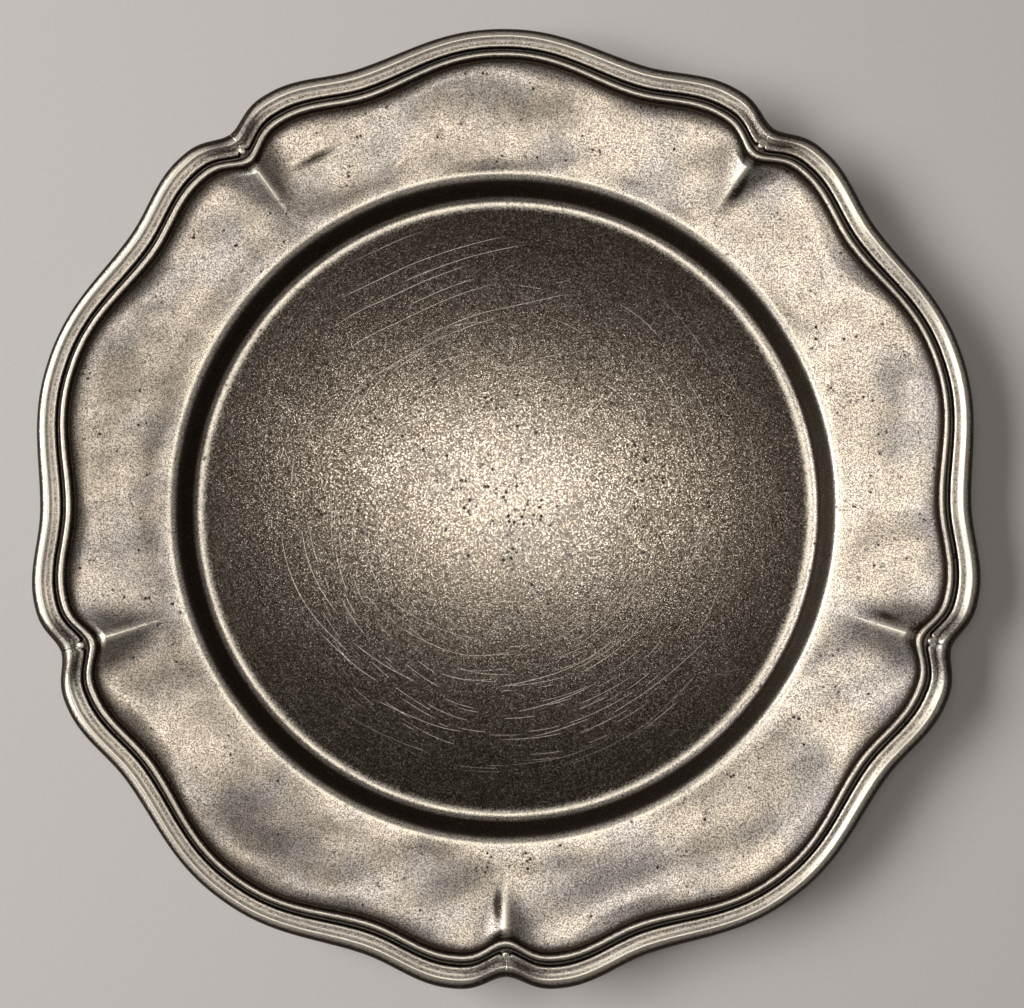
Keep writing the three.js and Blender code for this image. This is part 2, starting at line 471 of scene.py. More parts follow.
def notch_shade(angle, radius):
    """Patina in the lee of each arris: a bell on one side of it, a little in from the seat."""
    total = 0 * radius * angle
    for notch, (side, depth) in enumerate(ARRIS_SHADES):
        middle = HALF_LOBE * (2 * notch + 1)
        aside = radius * (np.mod(angle - middle + np.pi, 2 * np.pi) - np.pi)
        arris_shade = bell(aside - side, ARRIS_SHADE_WIDTH) * bell(radius - ARRIS_SHADE_RADIUS, ARRIS_SHADE_LENGTH)
        total = total + depth * arris_shade
    return total


def well_profiles(shape):
    """The under and upper sides of the well as turned profiles (radius, height). The under one runs
    outwards from the axis, the upper one inwards to it, and each corner is a quadratic curve."""
    floor = shape.floor_height
    mouth = shape.seat_height - shape.flange_rise
    slope = math.atan2(mouth - floor, shape.wall_spread)
    seat = float(rim_radius(np.array(0.0), SEAT_WIDTH, shape))
    mouth_radius = shape.foot_radius + shape.wall_spread
    upper = [(seat, shape.seat_height, 0), (mouth_radius, mouth, MOUTH_ROUNDING)]
    upper += [(shape.foot_radius, floor, FOOT_ROUNDING)]
    upper += [(shape.foot_radius - inwards, floor, 0) for inwards in FLOOR_ROWS] + [(0, floor, 0)]
    shift = WALL_THICKNESS / math.sin(slope)
    under_foot = shape.foot_radius + shift - FLOOR_THICKNESS / math.tan(slope)
    under_mouth = mouth_radius + shift - FLANGE_THICKNESS / math.tan(slope)
    under = [(0, 0, 0), (under_foot, 0, FOOT_ROUNDING)]
    under += [(under_mouth, mouth - FLANGE_THICKNESS, MOUTH_ROUNDING)]
    under += [(seat, shape.seat_height - FLANGE_THICKNESS, 0)]
    return rounded_path(under, CORNER_STEPS)[:-1], rounded_path(upper, CORNER_STEPS)[1:]


def flange_rows(angle, start, shape):
    """The flange between the seat and the well, as points and marks on rows from the seat inwards.

    The height runs straight from the well's mouth to the seat, less a dish that is deepest by the
    seat and fades to the well, plus an arris at each notch that falls off on both sides by an
    exponential and fades inwards by a power, plus the swells, less the dent.
    """
    inwards = np.linspace(0, 1, FLANGE_ROWS)[:, None]
    out = 1 - inwards**FLANGE_CROWDING
    seat_radius = rim_radius(angle, SEAT_WIDTH, shape)[None]
    radius = start[0] + (seat_radius - start[0]) * out
    aside = notch_distance(angle[None], radius)
    from_seat = seat_radius - radius
    crest = np.exp(-(np.sqrt(aside**2 + ARRIS_CREST**2) - ARRIS_CREST) / ARRIS_SPREAD)
    arris = shape.arris_height * out**ARRIS_FADE * np.minimum(1, (1 - out) / ARRIS_END) * crest
    cove = (1 - np.exp(-from_seat / COVE_WIDTH)) * out * (1 - np.exp(-aside / DISH_CLEARANCE))
    flat = place(angle[None], radius, 0)
    free = np.minimum(1, from_seat / SWELL_FADE) * np.minimum(1, (radius - start[0]) / SWELL_FADE)
    uneven = swell(flat[..., 0], flat[..., 1], shape.unevenness) * free
    dented = dent(flat[..., 0], flat[..., 1])
    height = start[1] + (shape.seat_height - start[1]) * out
    height = height + arris - shape.lobe_dish * cove + uneven - DENT_DEPTH * dented
    # The line along the arris and the ring at the mouth are painted highlights.
    line = bell(aside, ARRIS_LINE_WIDTH) * np.clip(out * ARRIS_LINE_RISE - ARRIS_LINE_START, 0, 1)
    ring = MOUTH_HIGHLIGHT_DEPTH * bell(radius - start[0] + MOUTH_RING_SHIFT, RING_WIDTH)
    # The darkening by the seat and in the dent is painted shade, and so is the mark beside each arris.
    grime = SEAT_SHADE * np.exp(-from_seat / SEAT_SHADE_WIDTH) + DENT_SHADE * dented
    marks = {
        "rubbed": line + ring,
        "grime": grime + notch_shade(angle[None], radius),
        "turned": 0 * radius,
        "tarnish": tarnish(angle[None], radius),
    }
    return place(angle[None], radius, height), marks


def well_marks(profile, shape):
    """Marks on the inside of the well: bright bells at its mouth and foot, patina on the wall."""
    radius = profile[:, 0]
    mouth_radius = shape.foot_radius + shape.wall_spread
    past_foot = radius - shape.foot_radius
    before_mouth = mouth_radius - radius
    # The darkening of the wall is painted shade.
    wall = np.clip((past_foot + WALL_FOOT[0]) / WALL_FOOT[1], 0, 1)
    wall = wall * np.clip((before_mouth + WALL_MOUTH[0]) / WALL_MOUTH[1], 0, 1)
    # The bells at the mouth and the foot are painted highlights.
    mouth_ring = bell(before_mouth + MOUTH_ROUNDING - MOUTH_RING_SHIFT, RING_WIDTH)
    foot_ring = bell(past_foot + FOOT_ROUNDING - FOOT_RING_SHIFT, RING_WIDTH)
    rubbed = MOUTH_HIGHLIGHT_DEPTH * mouth_ring + FOOT_HIGHLIGHT_DEPTH * foot_ring
    # The darkening round the edge of the floor is painted shade.
    floor_edge = np.where(past_foot < -FLOOR_EDGE_START, bell(past_foot, FLOOR_EDGE_WIDTH), 0)
    return {
        "rubbed": rubbed * (1 - wall),
        "grime": wall + FLOOR_EDGE_SHADE * floor_edge,
        "turned": np.clip((-past_foot - TURNED_EDGE) / TURNED_EDGE, 0, 1),
        "tarnish": np.clip(radius / FULL_TARNISH_AND_SHADE_RADIUS, 0, 1),
    }


def body_surface(shape):
    """Points, faces and marks of the closed body, in rows from the middle of the foot outwards along
    the underside, over the edge, and inwards along the top to the middle of the well."""
    angle = round_angles(BODY_STEPS)
    under, upper = well_profiles(shape)
    under = filled_in(under, UNDER_STEP)[1:]
    upper = filled_in(upper, FLOOR_STEP)[:-1]
    seat_rows = np.array(SEAT_ROWS)
    seat_radius = rim_radius(angle[None], seat_rows[:, :1], shape)
    seat = place(angle[None], seat_radius, shape.seat_height + seat_rows[:, 1:])
    flange, flange_marks = flange_rows(angle, upper[0], shape)
    turned_rows = [place(angle[None], rows[:, :1], rows[:, 1:]) for rows in (under, upper[1:])]
    rows = np.concatenate([turned_rows[0], seat, flange, turned_rows[1]])
    hidden = len(under) + len(seat_rows)
    top_marks = well_marks(upper[1:], shape)
    under_marks = {"rubbed": 0.0, "grime": 0.3, "turned": 0.0, "tarnish": 0.5}
    marks = {}
    for mark, on_flange in flange_marks.items():
        first = np.full((hidden, angle.size), under_marks[mark])
        last = np.repeat(top_marks[mark][:, None], angle.size, axis=1)
        body = np.concatenate([first, on_flange, last]).ravel()
        marks[mark] = np.concatenate([body, [under_marks[mark], 1.0 if mark == "turned" else 0.0]])
    points = np.concatenate([rows.reshape(-1, 3), [[0, 0, 0], [0, 0, shape.floor_height]]])
    columns = angle.size
    quads = grid_faces(len(rows), columns, wrap_columns=True)
    foot_fan = fan(len(points) - 2, 0, columns, flipped=True)
    floor_fan = fan(len(points) - 1, (len(rows) - 1) * columns, columns)
    return points, quads.tolist() + foot_fan + floor_fan, marks


# Reeds

REED_STEPS = 360
MITRE_GAP = 0.05 * MM
MITRE_EASE = 0.12 * MM
POCKET_SIZE = 1.5 * MM
POCKET_START = 2.5 * MM
BED = 0.03 * MM

# The wide reed's section, in millimetres: distance inwards from the edge, height above the seat,
# and rounding.
WIDE_REED_SECTION = (
    (5.15, 0.03, 0.1),
    (4.75, 1.22, 0.35),
    (3.5, 1.28, 0.6),
    (2.3, 1.99, 0.35),
    (0.75, 1.62, 0.6),
    (0.0, 0.5, 0.8),
    (0.0, -1.3, 0.6),
    (0.45, -1.6, 0.15),
    (1.1, -1.6, 0.1),
    (1.1, 0.03, 0.0),
)
SECTION_CORNER_STEPS = 7
SECTION_STEP = 0.4 * MM
SECTION_MIDDLE = (2.6 * MM, 0.9 * MM)

# The wide reed's top face starts at this height above the seat, and its marks fade in over the rise.
FACE_HEIGHT = 0.9 * MM
FACE_RISE = 0.5 * MM

# Its painted highlight lines: distance inwards in millimetres, width in millimetres, and depth.
HIGHLIGHT_LINES = ((2.2, 0.5, 1.3), (3.25, 0.32, 0.8), (4.45, 0.42, 1.1))

# Its painted shade: on the outer edge and the inner one, each where it starts and the distance it grows
# over, in the hollow between two lines, and where the highlight lines are lost near a mitre.
OUTER_SHADE = (1.6 * MM, 0.65 * MM)
INNER_SHADE = (4.75 * MM, 0.2 * MM)
HOLLOW_SHADE = 0.5
HOLLOW_MIDDLE = 3.55 * MM
HOLLOW_WIDTH = 0.45 * MM
LULL_DEPTH = 0.7
LULL_MIDDLE = 4 * MM
LULL_WIDTH = 5 * MM
LULL_SHADE = 0.7


def wide_reed_surface(lobe, shape):
    """One length of wide reed, its section carried along the rim from mitre to mitre.

    Near a mitre the section's inner side is cut back by the pocket's size less the distance, and
    its last steps shrink towards the middle of the section, which eases the edges of the joint.
    """
    section = np.array(WIDE_REED_SECTION) * MM
    section = rounded_path(section, SECTION_CORNER_STEPS, closed=True)
    section = filled_in(section, SECTION_STEP, closed=True)
    across, height = section.T
    mitre_radius = float(rim_radius(np.array(HALF_LOBE), WIDE_REED_WIDTH, shape))
    reach = HALF_LOBE - MITRE_GAP / 2 / mitre_radius
    shares = crowded(REED_STEPS)
    angle = (2 * HALF_LOBE * lobe + reach * shares)[:, None]
    aside = notch_distance(angle, mitre_radius)
    relief = np.maximum(0, POCKET_SIZE - aside) / NOTCH_KEY[1]
    inner = np.clip(across / POCKET_START - 1, 0, 1)
    across_now = across - relief * inner
    from_end = aside - MITRE_GAP / 2
    shrink = MITRE_EASE * (1 - np.clip(from_end / MITRE_EASE, 0, 1)) ** 2
    middle_across, middle_height = SECTION_MIDDLE
    reach_out = np.hypot(across_now - middle_across, height - middle_height)
    across_now = across_now + (middle_across - across_now) * shrink / reach_out
    height_now = height + (middle_height - height) * shrink / reach_out
    points = place(angle, rim_radius(angle, across_now, shape), shape.seat_height + height_now)
    rows, columns = len(angle), len(across)
    faces = grid_faces(rows, columns, wrap_columns=True)
    caps = [np.arange(columns)[::-1].tolist(), ((rows - 1) * columns + np.arange(columns)).tolist()]
    face_side = np.clip((height - FACE_HEIGHT) / FACE_RISE, 0, 1)
    # The lines are painted highlights; the darkening on both edges, in the hollow and near a mitre is
    # painted shade.
    rubbed = sum(depth * bell(across - line * MM, width * MM) for line, width, depth in HIGHLIGHT_LINES)
    grime = np.clip((OUTER_SHADE[0] - across) / OUTER_SHADE[1], 0, 1)
    grime = grime + np.clip((across - INNER_SHADE[0]) / INNER_SHADE[1], 0, 1)
    grime = grime + HOLLOW_SHADE * bell(across - HOLLOW_MIDDLE, HOLLOW_WIDTH) * face_side
    lull = LULL_DEPTH * bell(aside - LULL_MIDDLE, LULL_WIDTH)
    marks = {
        "rubbed": (rubbed * face_side)[None] * (1 - lull),
        "grime": grime[None] + LULL_SHADE * lull * face_side[None],
    }
    return points, faces.tolist() + caps, marks


# The narrow reed's half-round section and its rows, the painted highlight a little inside its crest,
# and the painted shade on its flanks.
NARROW_REED_STEPS = 300
NARROW_SECTION_STEPS = 17
NARROW_REED_FULLNESS = 0.85
NARROW_BED_ROWS = (0.5, 0.0, -0.5)
CREST_SHIFT = 0.12 * MM
CREST_WIDTH = 0.36 * MM
CREST_DEPTH = 0.8
FLANK_SHADE = 0.25
FLANK_START = 0.4 * MM
FLANK_RISE = 0.35 * MM


def narrow_reed_surface(shape):
    """The narrow reed, a half-round section on a flat bed, carried all the way round."""
    turn = np.linspace(0, np.pi, NARROW_SECTION_STEPS)
    top = NARROW_REED_BOX[1].z - shape.seat_height
    across = NARROW_REED_CENTRE + NARROW_REED_HALF * np.cos(turn)
    height = BED + (top - BED) * np.sin(turn) ** NARROW_REED_FULLNESS
    bed_across = NARROW_REED_CENTRE - NARROW_REED_HALF * np.array(NARROW_BED_ROWS)
    across = np.concatenate([across, bed_across])
    height = np.concatenate([height, np.full(bed_across.size, BED)])
    angle = round_angles(NARROW_REED_STEPS)[:, None]
    points = place(angle, rim_radius(angle, across, shape), shape.seat_height + height)
    faces = grid_faces(angle.size, across.size, wrap_rows=True, wrap_columns=True)
    crest = across - NARROW_REED_CENTRE - CREST_SHIFT
    # A painted highlight a little inside the crest, and painted shade on the flanks.
    rubbed = CREST_DEPTH * bell(crest, CREST_WIDTH)
    grime = FLANK_SHADE + np.clip((np.abs(crest) - FLANK_START) / FLANK_RISE, 0, 1)
    ones = np.ones_like(angle)
    marks = {"rubbed": rubbed[None] * ones, "grime": grime[None] * ones}
    return points, faces.tolist(), marks


# Solder

FILLET_STEPS = 40
FILLET_RUN = 0.55
FILLET_LUMPS = 0.07
FILLET_SIZE = 1.12
FILLET_FLAT_TOP = 0.86
FILLET_POLE = 0.9
FILLET_HIGHLIGHT = 1.4


def fillet_surface(lobe):
    """A lump of solder on the CAD bead's centre: a flat-topped ball stretched towards the joint.

    Its radius is the bead's, times one plus a share of the cosine towards the joint, plus lumps
    that are products of sines of both angles.
    """
    low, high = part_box(f"mitre_solder_{lobe + 1}")
    centre = np.array((low + high) / 2)
    radius = (high.z - low.z) / 2
    outward = math.atan2(centre[1], centre[0])
    tilt = np.linspace(0, np.pi, FILLET_STEPS // 2 + 1)[1:-1, None]
    turn = np.linspace(0, 2 * np.pi, FILLET_STEPS, endpoint=False)[None]
    lumps = FILLET_LUMPS * np.sin(2 * turn + lobe) * np.sin(3 * tilt + 2 * lobe)
    run = FILLET_RUN * np.maximum(0, np.cos(turn - outward)) ** 2 * np.sin(tilt) ** 2
    size = radius * (FILLET_SIZE + run + lumps)
    x = size * np.sin(tilt) * np.cos(turn)
    y = size * np.sin(tilt) * np.sin(turn)
    z = radius * np.minimum(FILLET_FLAT_TOP, np.cos(tilt)) * np.ones_like(turn)
    ring = np.stack([x, y, z], axis=-1) + centre
    poles = centre + [[0, 0, radius * FILLET_POLE], [0, 0, -radius]]
    points = np.concatenate([ring.reshape(-1, 3), poles])
    rows = tilt.size
    quads = grid_faces(rows, FILLET_STEPS, wrap_columns=True)[:, ::-1]
    top = fan(len(points) - 2, 0, FILLET_STEPS)
    bottom = fan(len(points) - 1, (rows - 1) * FILLET_STEPS, FILLET_STEPS, flipped=True)
    height = np.concatenate([(ring[..., 2] - centre[2]).ravel(), [radius, -radius]]) / radius
    # A painted highlight towards the top and painted shade towards the bottom, by height.
    marks = {"rubbed": height * FILLET_HIGHLIGHT, "grime": -height}
    return points, quads.tolist() + top + bottom, marks


# Node trees


class Nodes:
    """Places nodes in a tree, and links or sets their inputs."""

    def __init__(self, tree):
        self.tree = tree

    def add(self, kind, inputs=None, **settings):
        """A node with its settings, and its inputs by name or number as sockets or values."""
        node = self.tree.nodes.new(kind)
        for key, value in settings.items():
            setattr(node, key, value)
        for key, value in (inputs or {}).items():
            self.feed(node.inputs[key], value)
        return node

    def feed(self, socket, value):
        """Links a socket to an output, or gives it a value."""
        if isinstance(value, bpy.types.NodeSocket):
            self.tree.links.new(value, socket)
        else:
            socket.default_value = value

    def math(self, operation, *values, clamp=False):
        """The result of a Math node."""
        node = self.add("ShaderNodeMath", dict(enumerate(values)), operation=operation, use_clamp=clamp)
        return node.outputs[0]

    def vector(self, operation, *values):
        """The result of a Vector Math node: a value for a length, otherwise a vector."""
        node = self.add("ShaderNodeVectorMath", dict(enumerate(values)), operation=operation)
        return node.outputs["Value" if operation == "LENGTH" else "Vector"]

    def scaled(self, vector, scale):
        """A vector times a value."""
        node = self.add("ShaderNodeVectorMath", {"Vector": vector, "Scale": scale}, operation="SCALE")
        return node.outputs["Vector"]

    def step(self, value, low, high, start=0.0, end=1.0):
        """A smooth step of a value from start at low to end at high."""
        inputs = {"Value": value, "From Min": low, "From Max": high, "To Min": start, "To Max": end}
        return self.add("ShaderNodeMapRange", inputs, interpolation_type="SMOOTHSTEP").outputs[0]

    def noise(self, vector, scale, detail=2.0, roughness=0.5, distortion=0.0):
        """The value of a Noise Texture."""
        inputs = {"Vector": vector, "Scale": scale, "Detail": detail}
        inputs |= {"Roughness": roughness, "Distortion": distortion}
        return self.add("ShaderNodeTexNoise", inputs).outputs[0]

    def mix(self, factor, first, second):
        """Two colours mixed by a factor."""
        node = self.add("ShaderNodeMix", {0: factor, 6: first, 7: second}, data_type="RGBA")
        return node.outputs[2]

    def mix_values(self, factor, first, second):
        """Two values mixed by a factor."""
        return self.add("ShaderNodeMix", {0: factor, 2: first, 3: second}, data_type="FLOAT").outputs[0]

    def group(self, tree, inputs):
        """A node group with its inputs, by name."""
        node = self.add("ShaderNodeGroup")
        node.node_tree = tree
        for key, value in inputs.items():
            self.feed(node.inputs[key], value)
        return node.outputs


SOCKETS = {"float": "NodeSocketFloat", "vector": "NodeSocketVector", "colour": "NodeSocketColor"}


def new_group(name, inputs, outputs):
    """A node group with named sockets: the tree's Nodes, its input sockets and its output node."""
    tree = bpy.data.node_groups.new(name, "ShaderNodeTree")
    for sockets, direction in ((inputs, "INPUT"), (outputs, "OUTPUT")):
        for socket, kind in sockets.items():
            tree.interface.new_socket(socket, in_out=direction, socket_type=SOCKETS[kind])
    nodes = Nodes(tree)
    return nodes, nodes.add("NodeGroupInput").outputs, nodes.add("NodeGroupOutput").inputs


def once(make):
    """Makes a node group the first time it is asked for, and finds it afterwards. The group's name
    is what stands before the colon in the docstring."""

    def found_or_made():
        name = make.__doc__.split(":")[0]
        return bpy.data.node_groups.get(name) or make(name)

    return found_or_made


# Cast grit: the noise scales of its coarse grains, pits and patches of pits, as shares of the fine
# grain's, the height of the coarse grains, the depth of the pits, and the levels of noise between
# which pits, grains and glints begin.
COARSE_GRIT = 0.3
COARSE_HEIGHT = 0.5
PIT_CELLS = 0.25
PIT_PATCHES = 0.09
PIT_EDGE = (0.15, 0.4)
PIT_LEVELS = (0.56, 0.64)
PIT_DEPTH = 0.6
GRAIN_LEVELS = (0.43, 0.56)
GLINT_LEVELS = (0.57, 0.66)

# Patina: the level of its clouds with none asked for, how far it falls with all, and the soft edge.
COVER_LEVEL = 0.78
COVER_RANGE = 0.5
COVER_EDGE = (0.2, 0.12)

# Scratches: the noise that bends them and how far, the part of a band that they keep to, the shift
# of the noise from band to band, and the level of noise that breaks them up.
DRIFT_SCALE = 24.0
DRIFT_REACH = 0.005
BAND_START = 0.2
BAND_PART = 0.6
BAND_SHIFT = 7.31
BREAK_LEVEL = 0.74
BREAK_RANGE = 0.5
BREAK_EDGE = 0.06

# Turned lines: how fast they change round the face, and the levels of noise of the streaks.
LINE_CHANGE = 9.0
STREAK_LEVELS = (0.52, 0.68)

# Worn skin: how ragged the edges of the rubbed and highlighted places and of the dirty and shaded
# places are and where they begin, how much the rubbed and highlighted places take off the dirt, the
# painted shade and the grain, the cool patches, and what each adds to the roughness.
FRAY_SCALE = 0.8
RUBBED_AND_HIGHLIGHT_FRAY = 2.2
RUBBED_AND_HIGHLIGHT_LEVELS = (0.12, 0.8)
GRIME_AND_SHADE_FRAY = 0.9
GRIME_AND_SHADE_LEVELS = (0.08, 0.85)
GRIME_AND_SHADE_LIFTED = 0.75
GRAIN_LIFTED = 0.6
COOL_SCALE = 60.0
COOL_LEVELS = (0.42, 0.62)
DARK_ROUGHNESS = 0.07
RUBBED_AND_HIGHLIGHT_ROUGHNESS = 0.05
GRIME_AND_SHADE_ROUGHNESS = 0.15
SCRATCH_ROUGHNESS = 0.35


@once
def cast_grit(name):
    """Cast Grit: the gritty skin of cast metal, as a height, bright grains and dark pits."""
    inputs = {"Vector": "vector", "Grain": "float", "Pitting": "float"}
    outputs = {"Height": "float", "Grains": "float", "Glints": "float", "Pits": "float"}
    nodes, given, out = new_group(name, inputs, outputs)
    scale = nodes.math("DIVIDE", 1.0, given["Grain"])
    fine = nodes.noise(given["Vector"], scale, detail=2.5, roughness=0.75)
    coarse_scale = nodes.math("MULTIPLY", scale, COARSE_GRIT)
    coarse = nodes.noise(given["Vector"], coarse_scale, detail=2.0)
    height = nodes.math("MULTIPLY_ADD", coarse, COARSE_HEIGHT, fine)
    pit_scale = nodes.math("MULTIPLY", scale, PIT_CELLS)
    cells = nodes.add("ShaderNodeTexVoronoi", {"Vector": given["Vector"], "Scale": pit_scale})
    near = nodes.step(cells.outputs["Distance"], *PIT_EDGE, 1.0, 0.0)
    where = nodes.noise(given["Vector"], nodes.math("MULTIPLY", scale, PIT_PATCHES), detail=1.0)
    chosen = nodes.step(nodes.math("ADD", where, given["Pitting"]), *PIT_LEVELS)
    pits = nodes.math("MULTIPLY", near, chosen)
    nodes.feed(out["Height"], nodes.math("MULTIPLY_ADD", pits, -PIT_DEPTH, height))
    nodes.feed(out["Grains"], nodes.step(fine, *GRAIN_LEVELS))
    nodes.feed(out["Glints"], nodes.step(fine, *GLINT_LEVELS))
    nodes.feed(out["Pits"], pits)
    return nodes.tree


@once
def patina_cover(name):
    """Patina Cover: cloudy patches of patina, more or less of them by the amount."""
    inputs = {"Vector": "vector", "Patch": "float", "Amount": "float"}
    nodes, given, out = new_group(name, inputs, {"Cover": "float"})
    scale = nodes.math("DIVIDE", 1.0, given["Patch"])
    clouds = nodes.noise(given["Vector"], scale, detail=8.0, roughness=0.74, distortion=0.3)
    edge = nodes.math("SUBTRACT", COVER_LEVEL, nodes.math("MULTIPLY", given["Amount"], COVER_RANGE))
    low = nodes.math("SUBTRACT", edge, COVER_EDGE[0])
    high = nodes.math("ADD", edge, COVER_EDGE[1])
    nodes.feed(out["Cover"], nodes.step(clouds, low, high))
    return nodes.tree


@once
def arc_scratches(name):
    """Arc Scratches: a set of thin scratches along circles round a centre, each in its own band, as
    long as the noise along the band keeps above a level."""
    inputs = {"Vector": "vector", "Centre": "vector", "Spacing": "float", "Thickness": "float"}
    inputs |= {"Length": "float", "Share": "float"}
    nodes, given, out = new_group(name, inputs, {"Scratches": "float"})
    arm = nodes.vector("SUBTRACT", given["Vector"], given["Centre"])
    flat = nodes.vector("MULTIPLY", arm, (1.0, 1.0, 0.0))
    radius = nodes.vector("LENGTH", flat)
    drift = nodes.noise(given["Vector"], DRIFT_SCALE, detail=1.0)
    drifted = nodes.math("MULTIPLY_ADD", drift, DRIFT_REACH, radius)
    bands = nodes.math("DIVIDE", drifted, given["Spacing"])
    band = nodes.math("FLOOR", bands)
    inside = nodes.math("FRACT", bands)
    luck = nodes.add("ShaderNodeTexWhiteNoise", {"W": band}, noise_dimensions="1D").outputs["Value"]
    middle = nodes.math("MULTIPLY_ADD", luck, BAND_PART, BAND_START)
    aside = nodes.math("ABSOLUTE", nodes.math("SUBTRACT", inside, middle))
    half = nodes.math("DIVIDE", given["Thickness"], nodes.math("MULTIPLY", given["Spacing"], 2.0))
    line = nodes.math("SUBTRACT", 1.0, nodes.math("DIVIDE", aside, half), clamp=True)
    shift = nodes.math("MULTIPLY", band, BAND_SHIFT)
    lift = nodes.add("ShaderNodeCombineXYZ", {"Z": shift}).outputs[0]
    shrunk = nodes.scaled(flat, nodes.math("DIVIDE", 1.0, given["Length"]))
    runs = nodes.noise(nodes.vector("ADD", shrunk, lift), 1.0, detail=0.0)
    level = nodes.math("SUBTRACT", BREAK_LEVEL, nodes.math("MULTIPLY", given["Share"], BREAK_RANGE))
    kept = nodes.step(runs, level, nodes.math("ADD", level, BREAK_EDGE))
    nodes.feed(out["Scratches"], nodes.math("MULTIPLY", line, kept))
    return nodes.tree


@once
def turned_lines(name):
    """Turned Lines: the fine concentric lines of a turned face, as a height and bright streaks."""
    inputs = {"Vector": "vector", "Pitch": "float"}
    nodes, given, out = new_group(name, inputs, {"Height": "float", "Streaks": "float"})
    flat = nodes.vector("MULTIPLY", given["Vector"], (1.0, 1.0, 0.0))
    radius = nodes.vector("LENGTH", flat)
    heading = nodes.scaled(nodes.vector("NORMALIZE", flat), LINE_CHANGE)
    ring = nodes.math("DIVIDE", radius, given["Pitch"])
    rings = nodes.add("ShaderNodeCombineXYZ", {"Z": ring}).outputs[0]
    lines = nodes.noise(nodes.vector("ADD", heading, rings), 1.0, detail=2.0, roughness=0.7)
    nodes.feed(out["Height"], lines)
    nodes.feed(out["Streaks"], nodes.step(lines, *STREAK_LEVELS))
    return nodes.tree


@once
def pewter_skin(name):
    """Pewter Skin: the colour and roughness of worn pewter from its masks."""
    colours = ("Metal", "Cool Metal", "Rubbed Metal", "Tarnished Metal", "Patina")
    values = ("Tarnish", "Grain", "Glints", "Grains", "Grain Depth", "Cover")
    values += ("Grime", "Rubbed", "Scratches", "Base Roughness")
    inputs = dict.fromkeys(colours, "colour") | {"Vector": "vector"} | dict.fromkeys(values, "float")
    nodes, given, out = new_group(name, inputs, {"Colour": "colour", "Roughness": "float"})
    fray_scale = nodes.math("DIVIDE", FRAY_SCALE, given["Grain"])
    frayed = nodes.noise(given["Vector"], fray_scale, detail=3.0, roughness=0.7)
    fray = nodes.math("SUBTRACT", frayed, 0.5)
    # This mark is metal worn bright together with painted highlights.
    rubbed = nodes.math("MULTIPLY_ADD", fray, RUBBED_AND_HIGHLIGHT_FRAY, given["Rubbed"])
    rubbed = nodes.step(rubbed, *RUBBED_AND_HIGHLIGHT_LEVELS)
    # This mark is painted shade, save a little dirt under the plate.
    grime = nodes.math("MULTIPLY_ADD", fray, GRIME_AND_SHADE_FRAY, given["Grime"])
    grime = nodes.step(grime, *GRIME_AND_SHADE_LEVELS)
    left = nodes.math("MULTIPLY_ADD", rubbed, -GRIME_AND_SHADE_LIFTED, 1.0)
    grime = nodes.math("MULTIPLY", grime, left)
    grainy = nodes.math("SUBTRACT", 1.0, given["Grains"])
    grainy = nodes.math("MULTIPLY", grainy, given["Grain Depth"])
    left = nodes.math("MULTIPLY_ADD", rubbed, -GRAIN_LIFTED, 1.0)
    grainy = nodes.math("MULTIPLY", grainy, left)
    dark = nodes.math("MAXIMUM", given["Cover"], grainy)
    cool = nodes.step(nodes.noise(given["Vector"], COOL_SCALE, detail=3.0), *COOL_LEVELS)
    bare = nodes.mix(cool, given["Metal"], given["Cool Metal"])
    # The tarnished colour here carries tarnish and painted shade.
    bare = nodes.mix(given["Tarnish"], bare, given["Tarnished Metal"])
    bare = nodes.mix(dark, bare, given["Patina"])
    uncovered = nodes.math("SUBTRACT", 1.0, given["Cover"])
    glints = nodes.math("MULTIPLY", given["Glints"], uncovered)
    bare = nodes.mix(nodes.math("MAXIMUM", rubbed, glints), bare, given["Rubbed Metal"])
    # Painted shade takes the patina's colour.
    bare = nodes.mix(grime, bare, given["Patina"])
    nodes.feed(out["Colour"], nodes.mix(given["Scratches"], bare, given["Rubbed Metal"]))
    rough = nodes.math("MULTIPLY_ADD", dark, DARK_ROUGHNESS, given["Base Roughness"])
    rough = nodes.math("MULTIPLY_ADD", rubbed, RUBBED_AND_HIGHLIGHT_ROUGHNESS, rough)
    rough = nodes.math("MULTIPLY_ADD", grime, GRIME_AND_SHADE_ROUGHNESS, rough)
    rough = nodes.math("MULTIPLY_ADD", given["Scratches"], SCRATCH_ROUGHNESS, rough)
    nodes.feed(out["Roughness"], rough)
    return nodes.tree


# Finishes


def new_material(name):
    """A material with a metallic Principled BSDF: its Nodes, the shader and the Object coordinates."""
    material = bpy.data.materials.new(name)
    material.use_nodes = True
    material.node_tree.nodes.clear()
    nodes = Nodes(material.node_tree)
    shader = nodes.add("ShaderNodeBsdfPrincipled", {"Metallic": 1.0})
    nodes.add("ShaderNodeOutputMaterial", {"Surface": shader.outputs[0]})
    where = nodes.add("ShaderNodeTexCoord").outputs["Object"]
    return material, nodes, shader, where


def mark(nodes, name):
    """The value of a mark on the points."""
    return nodes.add("ShaderNodeAttribute", attribute_name=name).outputs["Fac"]


def opaque(colour):
    """A colour with full alpha, for a socket."""
    return (*colour, 1.0)


def skin_colours(finish):
    """The metal's colours as the skin's inputs."""
    return {
        "Metal": opaque(finish.metal),
        "Cool Metal": opaque(finish.cool),
        "Rubbed Metal": opaque(finish.rubbed),
        "Tarnished Metal": opaque(finish.tarnished),
        "Patina": opaque(finish.patina),
        "Grain": finish.grain,
    }


